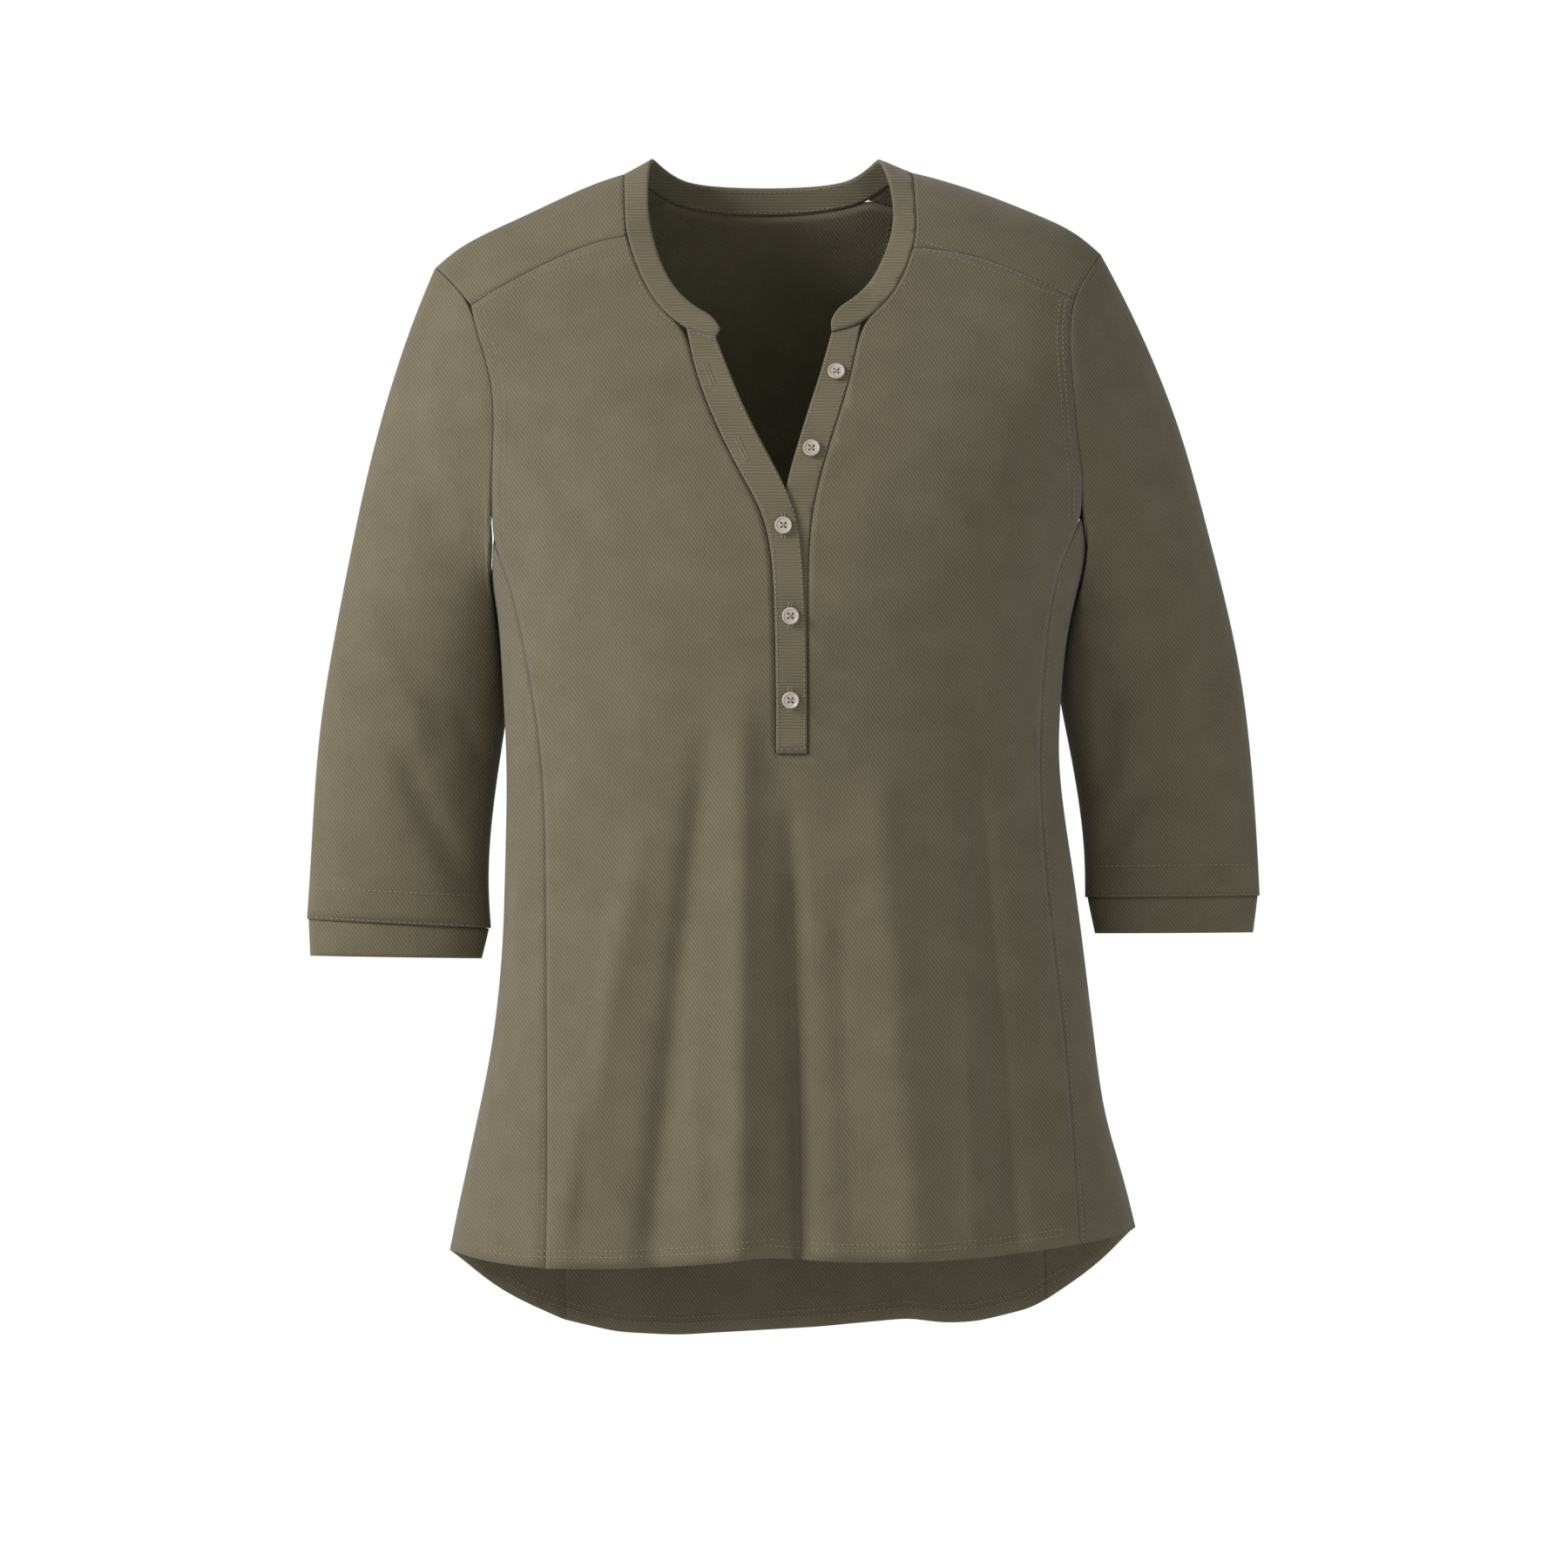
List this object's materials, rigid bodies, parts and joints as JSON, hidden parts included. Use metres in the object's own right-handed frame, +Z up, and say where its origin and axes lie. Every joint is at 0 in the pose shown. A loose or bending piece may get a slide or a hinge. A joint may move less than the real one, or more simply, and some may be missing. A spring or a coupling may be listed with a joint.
{
  "type": "henley shirt",
  "caption": "Tunic-length henley shirt with a band collar, an open button placket, shoulder yokes, princess side panels and cuffed three-quarter sleeves.",
  "frame": {"origin": "between the two neck points, where the wearer's shoulders carry the shirt", "axes": "+X to the right seen from the front, +Y to the back, +Z up"},
  "size_m": [0.5714, 0.2453, 0.707],
  "materials": {
    "cloth": "olive knit",
    "button": "grey tan"
  },
  "bodies": {
    "root": {"front": "cloth", "back": "cloth", "yoke_left": "cloth", "yoke_right": "cloth", "side_left": "cloth", "side_right": "cloth", "sleeve_left": "cloth", "sleeve_right": "cloth", "cuff_left": "cloth", "cuff_right": "cloth", "collar_band": "cloth", "placket_top": "cloth", "placket_under": "cloth", "button_1": "button", "button_2": "button", "button_3": "button", "button_4": "button", "button_5": "button"}
  },
  "joints": []
}
